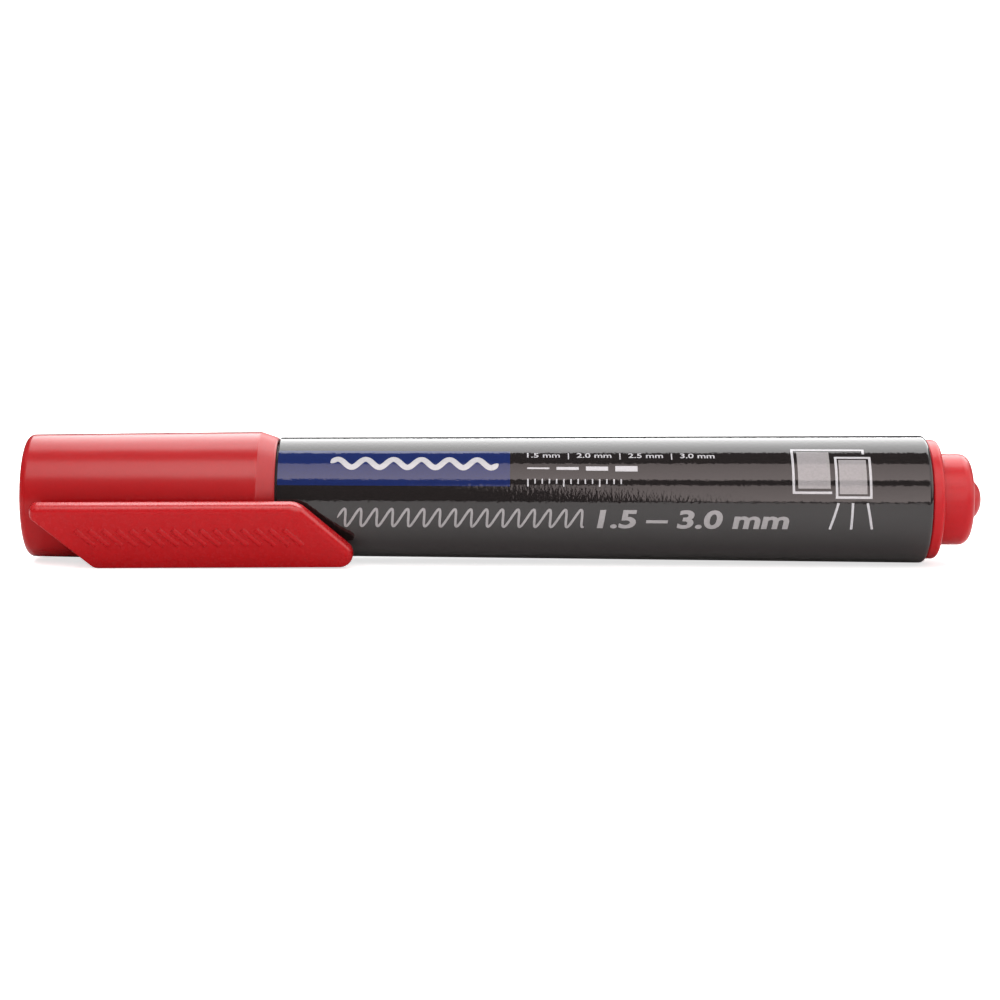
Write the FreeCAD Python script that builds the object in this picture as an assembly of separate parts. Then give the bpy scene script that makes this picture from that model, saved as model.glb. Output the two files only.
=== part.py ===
import FreeCAD, Part

import math
import os

from FreeCAD import Vector

# A whiteboard marker that lies on a table: satin red cap with a flag-shaped pocket clip, film-covered
# barrel, red rear plug, and inside them the nib, its holder, the ink store and the cap's seal.
#
# Millimetres. Each piece is drawn about the marker's own axis, with x measured along that axis from the
# closed end of the cap, and is then moved into the row frame by into_row_frame(): +X from the cap to the
# rear plug, +Z up, origin on the table under the middle of the marker's bounding box.

# ---- Driving dimensions -----------------------------------------------------------------------------

TOTAL_LENGTH = 135.7

# Cap: widens towards its mouth, then a short cone brings it down to the barrel's size.
CAP_LENGTH = 35.6
CAP_END_RADIUS = 8.70
CAP_RIM_RADIUS = 9.21
CAP_CONE_LENGTH = 2.5
CAP_MOUTH_RADIUS = 8.45
CAP_END_ROUND = 1.0
CAP_END_WALL = 1.4
CAP_CAVITY_RADIUS = 7.40
CAP_GUIDE_RADIUS = 7.52
CAP_BORE_RADIUS = 7.64
CAP_GUIDE_X = 27.0

# Inner cap that keeps the nib wet: a cup over the nose of the nib holder.
SEAL_FLOOR_X = 2.2
SEAL_WALL = 0.8
SEAL_LIP_X = 18.9
SEAL_BORE_RADIUS = 4.82
SEAL_FLANGE_RADIUS = 7.47

# Barrel, film included. It gets wider towards the rear plug.
MOUTH_GAP = 0.3
BARREL_END_X = 127.6
BARREL_FRONT_RADIUS = 8.42
BARREL_REAR_RADIUS = 9.08
BARREL_FRONT_ROUND = 0.3
BARREL_REAR_ROUND = 1.0
FILM = 0.12
BARREL_WALL = 1.12
NECK_START_X = 26.0
NECK_RADIUS = 7.40
NECK_BORE_RADIUS = 6.20
SNAP_BEAD_X = 30.5
SNAP_BEAD_RADIUS = 7.57

# Ribs inside the barrel that centre the ink store and leave an air path beside it.
RIB_COUNT = 6
RIB_WIDTH = 0.9
RIB_START_X = 46.0
RIB_END_X = 112.0
RIB_TIP_RADIUS = 6.90

# Nib and its holder.
NIB_TIP_X = 8.5
NIB_RADIUS = 2.30
NIB_END_X = 48.0
HOLDER_NOSE_X = 12.8
HOLDER_LAND_RADIUS = 4.75
HOLDER_END_X = 36.5

# Ink store and the film round it.
STORE_START_X = 39.5
STORE_END_X = 117.2
STORE_RADIUS = 6.75
WRAP = 0.12

# Rear plug: spigot, collar, boss and the rounded button at its end.
PLUG_START_X = 119.5
PLUG_SPIGOT_RADIUS = 7.76
COLLAR_RADIUS = 8.49
COLLAR_END_X = 129.3
BOSS_RADIUS = 6.50
BOSS_END_X = 133.9
BOSS_ROUND = 1.5
FIN_THICKNESS = 1.0
FIN_REACH = 5.6

# Clip: a parallelogram plate whose ends are cut at 45 degrees. It leans towards its free end.
CLIP_WIDTH = 9.96
CLIP_THICKNESS = 1.8
CLIP_TOP_START_X = 0.44
CLIP_TOP_LENGTH = 38.7
CLIP_ROOT_HEIGHT = 10.0
CLIP_TIP_HEIGHT = 9.3
CLIP_TIP_X = 46.4
CLIP_CORNERS = {"top_rear": 1.13, "top_free": 3.0, "bottom_free": 1.8, "bottom_rear": 1.5}
CLIP_SOFT_EDGE = 1.1
CLIP_CRISP_EDGE = 0.35
CLIP_HINGE_X = 17.0
CLIP_WEB_START_X = 5.0
CLIP_WEB_END_X = 16.0
CLIP_WEB_WIDTH = 3.6
CLIP_BUMP_X = 41.0
CLIP_BUMP_LENGTH = 4.0
CLIP_BUMP_SHIFT = 1.2
CLIP_BUMP_RADIUS = 1.6
CLIP_BUMP_HEIGHT = 0.5

# ---- Dimensions worked out from them ------------------------------------------------------------------

BARREL_START_X = CAP_LENGTH + MOUTH_GAP
CAP_RIM_X = CAP_LENGTH - CAP_CONE_LENGTH
CLIP_LEAN = math.atan2(CLIP_ROOT_HEIGHT - CLIP_TIP_HEIGHT, CLIP_TIP_X)
HALF_WIDTH = CLIP_WIDTH / 2


def clip_height(x):
    """Distance from the marker's axis to the clip's inner face."""
    return CLIP_ROOT_HEIGHT - math.tan(CLIP_LEAN) * x


# The marker lies on its cap's rim, the rear of its barrel and the clip's lower edge, which together fix
# how far the clip's face points below the horizontal.
LOW_X = CLIP_TOP_START_X + CLIP_WIDTH + CLIP_CORNERS["bottom_rear"] / 2
LOW_OUT = clip_height(LOW_X) + CLIP_THICKNESS - CLIP_CRISP_EDGE
LOW_ACROSS = HALF_WIDTH - CLIP_CRISP_EDGE
LOW_DROP = math.asin((CAP_RIM_RADIUS - CLIP_CRISP_EDGE) / math.hypot(LOW_OUT, LOW_ACROSS))
CLIP_ANGLE = LOW_DROP - math.atan2(LOW_ACROSS, LOW_OUT)

# Furthest that the clip reaches to the side, at its upper edge near the closed end of the cap.
HIGH_OUT = clip_height(CLIP_TOP_START_X + 2) + CLIP_THICKNESS - CLIP_SOFT_EDGE
HIGH_ACROSS = HALF_WIDTH - CLIP_SOFT_EDGE
CLIP_REACH = HIGH_OUT * math.cos(CLIP_ANGLE) + HIGH_ACROSS * math.sin(CLIP_ANGLE) + CLIP_SOFT_EDGE
AXIS_Y = (CLIP_REACH - CAP_RIM_RADIUS) / 2
AXIS_Z = CAP_RIM_RADIUS

X_AXIS = Vector(1, 0, 0)
Y_AXIS = Vector(0, 1, 0)

# Turned faces are meshed in 96 flats round the cap's rim, counted from their seam. Turning the seam by half
# a flat puts a flat, not a ridge, where the marker rests, so that it lies still.
SEAM_TURN = 360 / 96 / 2


# ---- Drawing helpers ----------------------------------------------------------------------------------


def rounded_wire(corners):
    """Closed wire in the XY plane through corners given as (x, y) or (x, y, radius of the rounded corner)."""
    points = [Vector(c[0], c[1], 0) for c in corners]
    radii = [c[2] if len(c) > 2 else 0 for c in corners]
    stops = []
    for i, corner in enumerate(points):
        back = (points[i - 1] - corner).normalize()
        ahead = (points[(i + 1) % len(points)] - corner).normalize()
        if radii[i] == 0:
            stops.append((corner, None, corner))
            continue
        half_angle = back.getAngle(ahead) / 2
        cut = radii[i] / math.tan(half_angle)
        inward = (back + ahead).normalize()
        middle = corner + inward * (radii[i] / math.sin(half_angle) - radii[i])
        stops.append((corner + back * cut, middle, corner + ahead * cut))
    edges = []
    for i, (start, middle, end) in enumerate(stops):
        if middle is not None:
            edges.append(Part.Arc(start, middle, end).toShape())
        next_start = stops[(i + 1) % len(stops)][0]
        if (next_start - end).Length > 1e-6:
            edges.append(Part.LineSegment(end, next_start).toShape())
    return Part.Wire(edges)


def turned(corners):
    """Solid of revolution about the marker's axis. Corners are (x, radius) or (x, radius, rounding)."""
    face = Part.Face(rounded_wire(corners))
    solid = face.revolve(Vector(0, 0, 0), X_AXIS, 360)
    return solid.rotate(Vector(0, 0, 0), X_AXIS, SEAM_TURN)


def slab(x_range, y_range, z_range):
    """Box between two values along each axis."""
    low = Vector(x_range[0], y_range[0], z_range[0])
    size = Vector(x_range[1], y_range[1], z_range[1]) - low
    return Part.makeBox(size.x, size.y, size.z, low)


def into_row_frame(shape):
    """Moves a piece drawn about the marker's axis to where it lies on the table."""
    placed = shape.copy()
    placed.translate(Vector(-TOTAL_LENGTH / 2, AXIS_Y, AXIS_Z))
    return placed


def save(name, shape):
    """Writes one named piece as a single solid and reports its volume and box."""
    placed = into_row_frame(shape)
    if not placed.isValid() or len(placed.Solids) != 1:
        raise ValueError(name + " is not one valid solid")
    placed = placed.Solids[0]
    placed.exportStep("parts/" + name + ".step")
    box = placed.optimalBoundingBox()
    low = f"{box.XMin:8.3f} {box.YMin:8.3f} {box.ZMin:8.3f}"
    high = f"{box.XMax:8.3f} {box.YMax:8.3f} {box.ZMax:8.3f}"
    print(f"{name:15s} {placed.Volume:9.1f} mm3   from {low}   to {high}")


# ---- Cap ----------------------------------------------------------------------------------------------


def cap_outline():
    """Outer outline of the cap, from the axis at its closed end to the edge of its mouth."""
    return [
        (0, 0),
        (0, CAP_END_RADIUS, CAP_END_ROUND),
        (CAP_RIM_X, CAP_RIM_RADIUS),
        (CAP_LENGTH - 0.25, CAP_MOUTH_RADIUS, 0.2),
        (CAP_LENGTH, CAP_MOUTH_RADIUS - 0.15),
    ]


def cap_shell():
    """Outer cap, with a groove for the barrel's snap bead and a ring that the inner cap stands on."""
    bead_half = 0.7
    groove_radius = CAP_BORE_RADIUS + 0.14
    ring_outer, ring_inner = 4.0, 3.0
    cavity = [
        (CAP_LENGTH, CAP_BORE_RADIUS + 0.15),
        (CAP_LENGTH - 0.5, CAP_BORE_RADIUS),
        (SNAP_BEAD_X + bead_half + 0.3, CAP_BORE_RADIUS),
        (SNAP_BEAD_X + bead_half, groove_radius),
        (SNAP_BEAD_X - bead_half, groove_radius),
        (SNAP_BEAD_X - bead_half - 0.3, CAP_BORE_RADIUS),
        (CAP_GUIDE_X + 0.5, CAP_BORE_RADIUS),
        (CAP_GUIDE_X, CAP_GUIDE_RADIUS),
        (CAP_END_WALL, CAP_CAVITY_RADIUS, 0.8),
        (CAP_END_WALL, ring_outer),
        (SEAL_FLOOR_X, ring_outer),
        (SEAL_FLOOR_X, ring_inner),
        (CAP_END_WALL, ring_inner),
        (CAP_END_WALL, 0),
    ]
    return turned(cap_outline() + cavity)


def cap_seal():
    """Inner cap: a cup that closes on the land of the nib holder, held in the cap by its flange."""
    outer_radius = SEAL_BORE_RADIUS + SEAL_WALL
    flange_start, flange_end = 17.0, 18.2
    inner_floor = SEAL_FLOOR_X + SEAL_WALL
    return turned(
        [
            (SEAL_FLOOR_X, 0),
            (SEAL_FLOOR_X, outer_radius - 0.3, 0.9),
            (flange_start, outer_radius, 0.3),
            (flange_start, SEAL_FLANGE_RADIUS),
            (flange_end, SEAL_FLANGE_RADIUS),
            (flange_end, outer_radius),
            (SEAL_LIP_X, outer_radius - 0.1, 0.15),
            (SEAL_LIP_X, SEAL_BORE_RADIUS + 0.25),
            (SEAL_LIP_X - 0.5, SEAL_BORE_RADIUS),
            (inner_floor, SEAL_BORE_RADIUS - 0.03, 0.6),
            (inner_floor, 0),
        ]
    )


# ---- Clip ---------------------------------------------------------------------------------------------


def onto_side(shape):
    """Turns a piece of the clip from lying flat above the axis to where it sits on the marker."""
    quarter_turn = 90
    shape.rotate(Vector(0, 0, 0), X_AXIS, quarter_turn + math.degrees(CLIP_ANGLE))
    return shape


def edge_rounding(point):
    """Rounding of the outer face's edge at a point: crisp along the lower edge and the rear cut."""
    on_lower_edge = point.y < -HALF_WIDTH + 1e-3
    on_rear_cut = point.x < CLIP_TOP_START_X + CLIP_WIDTH and point.y < HALF_WIDTH - 1e-3
    return CLIP_CRISP_EDGE if on_lower_edge or on_rear_cut else CLIP_SOFT_EDGE


def round_outer_face(plate):
    """Rounds the edges of the outer face. The rounding fades from soft to crisp over two of the corners."""
    document = FreeCAD.newDocument("clip")
    base = document.addObject("Part::Feature", "plate")
    base.Shape = plate
    rounding = document.addObject("Part::Fillet", "rounding")
    rounding.Base = base
    radii = []
    for number, edge in enumerate(plate.Edges, start=1):
        if edge.BoundBox.ZMin > CLIP_THICKNESS - 1e-6:
            start = edge.valueAt(edge.FirstParameter)
            end = edge.valueAt(edge.LastParameter)
            radii.append((number, edge_rounding(start), edge_rounding(end)))
    rounding.Edges = radii
    document.recompute()
    rounded = rounding.Shape.copy()
    FreeCAD.closeDocument(document.Name)
    return rounded


def clip_plate():
    """Whole plate of the clip, flat above the axis: y across it with the upper edge at +y, z outwards."""
    top_end = CLIP_TOP_START_X + CLIP_TOP_LENGTH
    outline = rounded_wire(
        [
            (CLIP_TOP_START_X, HALF_WIDTH, CLIP_CORNERS["top_rear"]),
            (top_end, HALF_WIDTH, CLIP_CORNERS["top_free"]),
            (top_end + CLIP_WIDTH, -HALF_WIDTH, CLIP_CORNERS["bottom_free"]),
            (CLIP_TOP_START_X + CLIP_WIDTH, -HALF_WIDTH, CLIP_CORNERS["bottom_rear"]),
        ]
    )
    plate = round_outer_face(Part.Face(outline).extrude(Vector(0, 0, CLIP_THICKNESS)))
    plate.rotate(Vector(0, 0, 0), Y_AXIS, math.degrees(CLIP_LEAN))
    plate.translate(Vector(0, 0, CLIP_ROOT_HEIGHT))
    return plate


def half_space(low_x, high_x):
    """Box that holds everything of the clip between two values of x."""
    wide = 4 * CLIP_WIDTH
    return slab((low_x, high_x), (-wide, wide), (0, wide))


def clip_root():
    """Fixed end of the clip and the web that joins it to the side of the cap."""
    plate = clip_plate().common(half_space(-CLIP_WIDTH, CLIP_HINGE_X))
    half_web = CLIP_WEB_WIDTH / 2
    web_outline = rounded_wire(
        [
            (CLIP_WEB_START_X, half_web, 0.5),
            (CLIP_WEB_END_X, half_web, 0.5),
            (CLIP_WEB_END_X, -half_web, 0.5),
            (CLIP_WEB_START_X + CLIP_WEB_WIDTH, -half_web, 0.5),
        ]
    )
    web = Part.Face(web_outline).extrude(Vector(0, 0, clip_height(0) - CAP_CAVITY_RADIUS))
    web.translate(Vector(0, 0, CAP_CAVITY_RADIUS))
    cap_body = turned(cap_outline() + [(CAP_LENGTH, 0)])
    return onto_side(plate.fuse(web).cut(cap_body).removeSplitter())


def clip_arm():
    """Free end of the clip, with a bump inside it that presses on cloth or paper."""
    arm = clip_plate().common(half_space(CLIP_HINGE_X, TOTAL_LENGTH))
    bump_centre = clip_height(CLIP_BUMP_X) + CLIP_BUMP_RADIUS - CLIP_BUMP_HEIGHT
    bump_start = Vector(CLIP_BUMP_X, -CLIP_BUMP_LENGTH / 2 - CLIP_BUMP_SHIFT, bump_centre)
    bump = Part.makeCylinder(CLIP_BUMP_RADIUS, CLIP_BUMP_LENGTH, bump_start, Y_AXIS)
    above_mid_plate = half_space(0, TOTAL_LENGTH)
    above_mid_plate.translate(Vector(0, 0, clip_height(CLIP_BUMP_X) + CLIP_THICKNESS / 2))
    return onto_side(arm.fuse(bump.cut(above_mid_plate)).removeSplitter())


# ---- Barrel -------------------------------------------------------------------------------------------


def bore_radius(x):
    """Inside radius of the barrel behind its neck."""
    front = BARREL_FRONT_RADIUS - FILM - BARREL_WALL
    rear = BARREL_REAR_RADIUS - FILM - BARREL_WALL
    share = (x - BARREL_START_X) / (BARREL_END_X - BARREL_START_X)
    return front + (rear - front) * share


def label_film():
    """Printed film that covers the barrel and turns in over both of its ends."""
    turned_in = 0.1
    lip_radius = BARREL_FRONT_RADIUS - BARREL_FRONT_ROUND - turned_in
    rear_lip_radius = BARREL_REAR_RADIUS - BARREL_REAR_ROUND - turned_in
    return turned(
        [
            (BARREL_START_X, lip_radius),
            (BARREL_START_X, BARREL_FRONT_RADIUS, BARREL_FRONT_ROUND),
            (BARREL_END_X, BARREL_REAR_RADIUS, BARREL_REAR_ROUND),
            (BARREL_END_X, rear_lip_radius),
            (BARREL_END_X - FILM, rear_lip_radius),
            (BARREL_END_X - FILM, BARREL_REAR_RADIUS - FILM, BARREL_REAR_ROUND - FILM),
            (BARREL_START_X + FILM, BARREL_FRONT_RADIUS - FILM, BARREL_FRONT_ROUND - FILM),
            (BARREL_START_X + FILM, lip_radius),
        ]
    )


def barrel_tube():
    """Moulded tube: neck with a snap bead for the cap, shoulder, body, and ribs inside the body."""
    shoulder_x = BARREL_START_X + FILM
    end_x = BARREL_END_X - FILM
    neck_inside_end = shoulder_x + 1.5
    bead_half = 0.4
    tube = turned(
        [
            (NECK_START_X, NECK_BORE_RADIUS),
            (NECK_START_X, NECK_RADIUS, 0.3),
            (SNAP_BEAD_X - bead_half - 0.4, NECK_RADIUS),
            (SNAP_BEAD_X - bead_half, SNAP_BEAD_RADIUS, 0.2),
            (SNAP_BEAD_X + bead_half, SNAP_BEAD_RADIUS, 0.2),
            (SNAP_BEAD_X + bead_half + 0.4, NECK_RADIUS),
            (shoulder_x, NECK_RADIUS),
            (shoulder_x, BARREL_FRONT_RADIUS - FILM, BARREL_FRONT_ROUND - FILM),
            (end_x, BARREL_REAR_RADIUS - FILM, BARREL_REAR_ROUND - FILM),
            (end_x, bore_radius(end_x)),
            (neck_inside_end + 1.0, bore_radius(neck_inside_end + 1.0)),
            (neck_inside_end, NECK_BORE_RADIUS),
        ]
    )
    into_wall = BARREL_WALL / 2
    half_rib = RIB_WIDTH / 2
    rib_profile = [
        Vector(RIB_START_X, -half_rib, RIB_TIP_RADIUS),
        Vector(RIB_END_X, -half_rib, RIB_TIP_RADIUS),
        Vector(RIB_END_X, -half_rib, bore_radius(RIB_END_X) + into_wall),
        Vector(RIB_START_X, -half_rib, bore_radius(RIB_START_X) + into_wall),
    ]
    rib = Part.Face(Part.makePolygon(rib_profile + rib_profile[:1])).extrude(Vector(0, RIB_WIDTH, 0))
    ribs = []
    for i in range(RIB_COUNT):
        turned_rib = rib.copy()
        turned_rib.rotate(Vector(0, 0, 0), X_AXIS, i * 360 / RIB_COUNT)
        ribs.append(turned_rib)
    return tube.fuse(ribs).removeSplitter()


# ---- Nib, holder and ink store ------------------------------------------------------------------------


def nib():
    """Fibre nib: bullet tip in front, plain rod through the holder, cone that enters the ink store."""
    tip_cone_end = NIB_TIP_X + 3.2
    rear_cone_start = NIB_END_X - 6.0
    return turned(
        [
            (NIB_TIP_X, 0),
            (NIB_TIP_X, 0.95, 0.8),
            (tip_cone_end, NIB_RADIUS, 3.0),
            (rear_cone_start, NIB_RADIUS),
            (NIB_END_X, 0.3),
            (NIB_END_X, 0),
        ]
    )


def nib_holder():
    """Front section: nose round the nib, sealing land, grip cone, flange, and a spigot in the neck."""
    land_start, land_end = 15.6, 19.2
    cone_start, cone_end = 19.9, 24.7
    guide_radius = 3.2
    pocket_start, guide_end = 22.5, 34.0
    spigot_inner_radius = 5.0
    return turned(
        [
            (HOLDER_NOSE_X, NIB_RADIUS),
            (HOLDER_NOSE_X, 3.2, 0.3),
            (land_start - 0.5, HOLDER_LAND_RADIUS - 0.35, 0.5),
            (land_start, HOLDER_LAND_RADIUS),
            (land_end, HOLDER_LAND_RADIUS),
            (land_end, 5.6, 0.2),
            (cone_start, 6.05, 0.3),
            (cone_end, 6.75),
            (cone_end, NECK_RADIUS, 0.2),
            (NECK_START_X, NECK_RADIUS),
            (NECK_START_X, NECK_BORE_RADIUS),
            (HOLDER_END_X, NECK_BORE_RADIUS - 0.05),
            (HOLDER_END_X, spigot_inner_radius),
            (pocket_start, spigot_inner_radius - 0.1),
            (pocket_start, guide_radius),
            (guide_end, guide_radius - 0.1),
            (guide_end, NIB_RADIUS),
        ]
    )


def ink_reservoir():
    """Bundle of fibres that holds the ink, with the hollow that the nib's rear cone has pushed into it."""
    store = turned(
        [(STORE_START_X, 0), (STORE_START_X, STORE_RADIUS), (STORE_END_X, STORE_RADIUS), (STORE_END_X, 0)]
    )
    return store.cut(nib())


def reservoir_wrap():
    """Plastic film round the fibre bundle."""
    return turned(
        [
            (STORE_START_X, STORE_RADIUS),
            (STORE_START_X, STORE_RADIUS + WRAP),
            (STORE_END_X, STORE_RADIUS + WRAP),
            (STORE_END_X, STORE_RADIUS),
        ]
    )


# ---- Rear plug ----------------------------------------------------------------------------------------


def end_plug():
    """Hollow rear plug, closed by a boss with a rounded button, with crossed fins behind the ink store."""
    inner_end = BOSS_END_X - 1.4
    spigot_inner_radius = PLUG_SPIGOT_RADIUS - 1.3
    boss_inner_radius = BOSS_RADIUS - 1.3
    shell = turned(
        [
            (PLUG_START_X, spigot_inner_radius),
            (PLUG_START_X, PLUG_SPIGOT_RADIUS - 0.35),
            (PLUG_START_X + 0.7, PLUG_SPIGOT_RADIUS),
            (BARREL_END_X, PLUG_SPIGOT_RADIUS),
            (BARREL_END_X, COLLAR_RADIUS, 0.25),
            (COLLAR_END_X, COLLAR_RADIUS, 0.7),
            (COLLAR_END_X, BOSS_RADIUS, 0.15),
            (BOSS_END_X, BOSS_RADIUS, BOSS_ROUND),
            (BOSS_END_X + 0.1, 3.2, 0.9),
            (TOTAL_LENGTH, 1.9, 3.0),
            (TOTAL_LENGTH, 0),
            (inner_end, 0),
            (inner_end, boss_inner_radius, 0.6),
            (BARREL_END_X + 1.9, boss_inner_radius),
            (BARREL_END_X + 0.9, spigot_inner_radius),
        ]
    )
    half_fin = FIN_THICKNESS / 2
    fin_ends = (STORE_END_X, inner_end + 0.3)
    upright_fin = slab(fin_ends, (-half_fin, half_fin), (-FIN_REACH, FIN_REACH))
    level_fin = slab(fin_ends, (-FIN_REACH, FIN_REACH), (-half_fin, half_fin))
    return shell.fuse([upright_fin, level_fin]).removeSplitter()


PIECES = {
    "cap_shell": cap_shell,
    "cap_seal": cap_seal,
    "clip_root": clip_root,
    "clip_arm": clip_arm,
    "label_film": label_film,
    "barrel_tube": barrel_tube,
    "nib_holder": nib_holder,
    "nib": nib,
    "ink_reservoir": ink_reservoir,
    "reservoir_wrap": reservoir_wrap,
    "end_plug": end_plug,
}


def main():
    os.makedirs("parts", exist_ok=True)
    for name, make in PIECES.items():
        save(name, make())
    print(f"axis at y {AXIS_Y:.3f} z {AXIS_Z:.3f}, clip points {math.degrees(CLIP_ANGLE):.2f} deg below level")


main()
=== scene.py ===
import math

import bmesh
import bpy
from mathutils import Matrix, Quaternion, Vector


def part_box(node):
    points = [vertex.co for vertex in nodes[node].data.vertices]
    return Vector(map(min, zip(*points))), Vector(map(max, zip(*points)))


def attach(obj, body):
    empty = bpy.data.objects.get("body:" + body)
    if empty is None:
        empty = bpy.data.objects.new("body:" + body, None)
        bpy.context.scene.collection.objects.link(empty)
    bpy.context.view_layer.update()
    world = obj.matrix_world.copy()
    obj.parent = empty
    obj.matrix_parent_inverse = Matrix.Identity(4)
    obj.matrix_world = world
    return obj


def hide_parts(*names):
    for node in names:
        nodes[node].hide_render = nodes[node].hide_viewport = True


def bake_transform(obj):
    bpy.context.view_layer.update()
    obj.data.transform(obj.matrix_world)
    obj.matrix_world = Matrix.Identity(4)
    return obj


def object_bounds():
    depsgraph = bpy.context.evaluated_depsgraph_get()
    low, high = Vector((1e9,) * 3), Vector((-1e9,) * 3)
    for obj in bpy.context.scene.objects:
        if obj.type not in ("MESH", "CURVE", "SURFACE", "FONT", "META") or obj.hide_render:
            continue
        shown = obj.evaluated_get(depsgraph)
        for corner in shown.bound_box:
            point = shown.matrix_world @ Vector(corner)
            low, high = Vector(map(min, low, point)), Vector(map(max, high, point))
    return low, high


# The looks of a whiteboard marker that lies on a table. Lengths in this file are in millimetres, measured
# along the marker from the closed end of its cap and outwards from its axis, and at() turns them into
# metres in the frame's own axes. Angles round the axis start at the front, on the clip's side, and go up
# over the top.

MM = 0.001

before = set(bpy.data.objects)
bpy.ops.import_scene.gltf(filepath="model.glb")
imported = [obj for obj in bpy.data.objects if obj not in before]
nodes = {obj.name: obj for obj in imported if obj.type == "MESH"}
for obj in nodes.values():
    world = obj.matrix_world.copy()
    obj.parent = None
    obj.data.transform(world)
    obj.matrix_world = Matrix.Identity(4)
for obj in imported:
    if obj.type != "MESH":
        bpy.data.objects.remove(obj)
cad_low, cad_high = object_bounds()
cap_low, cap_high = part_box("cap_shell")

START_X = cad_low.x / MM
AXIS_Y = (cap_low.y + cap_high.y) / 2 / MM
AXIS_Z = (cap_low.z + cap_high.z) / 2 / MM
TOTAL_LENGTH = (cad_high.x - cad_low.x) / MM

# ---- Driving sizes ------------------------------------------------------------------------------------

ROUND_STEPS = 192
# Distance beside a rounding at which an extra point keeps the shading of the straight parts even.
EVEN_SHADING_GAP = 0.04

CAP_LENGTH = 35.6
CAP_RIM_X = 33.1
CAP_END_RADIUS = 8.69
CAP_RIM_RADIUS = 9.2
CAP_MOUTH_RADIUS = 8.44
CAP_BORE_RADIUS = 7.64
CAP_BORE_END_RADIUS = 7.4
CAP_SNAP_RADIUS = 7.78
CAP_FLOOR_X = 1.4
CAP_RING_X = 2.2
CAP_RING_OUTSIDE = 4.0
CAP_RING_INSIDE = 3.0
GATE_RADIUS = 1.1
GATE_DEPTH = 0.12

FILM_START_X = 35.9
FILM_END_X = 127.6
FILM_FRONT_RADIUS = 8.42
FILM_REAR_RADIUS = 9.08
FILM_THICKNESS = 0.12
FILM_FRONT_ROUND = 0.16
FILM_REAR_ROUND = 0.7
FILM_FRONT_LIP = 0.4
FILM_REAR_LIP = 1.1
FILM_CUTS = 30
SEAM_ANGLE = math.radians(189)
SEAM_HALF_WIDTH = math.radians(9)
SEAM_RISE = 0.04
SEAM_STEEPNESS = 6

COLLAR_RADIUS = 8.49
COLLAR_END_X = 129.3
BOSS_RADIUS = 6.5
BOSS_END_X = 133.9
BUTTON_FOOT_RADIUS = 3.2
BUTTON_RADIUS = 1.9
DIMPLE_RADIUS = 0.5
DIMPLE_DEPTH = 0.1
SPIGOT_START_X = 119.5
SPIGOT_RADIUS = 7.76
SPIGOT_TIP_RADIUS = 7.41
SPIGOT_BORE_RADIUS = 6.46
BOSS_BORE_RADIUS = 5.2
BOSS_FLOOR_X = 132.5
FIN_START_X = 117.2
FIN_END_X = 132.8
FIN_WIDTH = 11.2
FIN_THICKNESS = 1.0

CLIP_ANGLE = math.radians(24.28)
# The plate comes 0.7 nearer to the axis over a length of 46.4.
CLIP_LEAN = math.atan2(0.7, 46.4)
CLIP_ROOT_HEIGHT = 10.0
CLIP_WIDTH = 9.96
CLIP_THICKNESS = 1.8
CLIP_TOP_START_X = 0.44
CLIP_TOP_LENGTH = 38.7
CLIP_SOFT_EDGE = 1.1
CLIP_CRISP_EDGE = 0.35
CLIP_INNER_EDGE = 0.15
CLIP_HINGE_X = 17.0
CLIP_BEND = 3.5

# ---- Places on the marker -----------------------------------------------------------------------------


def at(x, radius, angle):
    """Point on a circle round the marker's axis, in metres."""
    y = AXIS_Y - radius * math.cos(angle)
    z = AXIS_Z + radius * math.sin(angle)
    return Vector((START_X + x, y, z)) * MM


def on_clip(x, across, out):
    """Point of the clip, in metres: across goes up the plate and out is measured from its inner face."""
    leaned_x = x * math.cos(CLIP_LEAN) + out * math.sin(CLIP_LEAN)
    height = CLIP_ROOT_HEIGHT + out * math.cos(CLIP_LEAN) - x * math.sin(CLIP_LEAN)
    y = AXIS_Y - height * math.cos(CLIP_ANGLE) - across * math.sin(CLIP_ANGLE)
    z = AXIS_Z - height * math.sin(CLIP_ANGLE) + across * math.cos(CLIP_ANGLE)
    return Vector((START_X + leaned_x, y, z)) * MM


def film_radius(x):
    """Outside radius of the printed film."""
    share = (x - FILM_START_X) / (FILM_END_X - FILM_START_X)
    return FILM_FRONT_RADIUS + (FILM_REAR_RADIUS - FILM_FRONT_RADIUS) * share


# ---- Mesh helpers -------------------------------------------------------------------------------------


def rounded(corners, steps=8, hold=EVEN_SHADING_GAP):
    """Outline through (x, y) or (x, y, rounding) corners, with each rounding drawn as an arc and an extra
    point at a distance of hold on both sides of it."""
    outline = []
    count = len(corners)
    for i, corner in enumerate(corners):
        point = Vector(corner[:2])
        rounding = corner[2] if len(corner) > 2 else 0
        if not rounding:
            outline.append(point)
            continue
        to_before = (Vector(corners[i - 1][:2]) - point).normalized()
        to_after = (Vector(corners[(i + 1) % count][:2]) - point).normalized()
        half = to_before.angle(to_after) / 2
        centre = point + (to_before + to_after).normalized() * rounding / math.sin(half)
        reach = rounding / math.tan(half)
        first = point + to_before * reach - centre
        turn = first.angle_signed(point + to_after * reach - centre)
        if hold:
            outline.append(point + to_before * (reach + hold))
        for k in range(steps + 1):
            outline.append(centre + Matrix.Rotation(-turn * k / steps, 2) @ first)
        if hold:
            outline.append(point + to_after * (reach + hold))
    return outline


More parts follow.
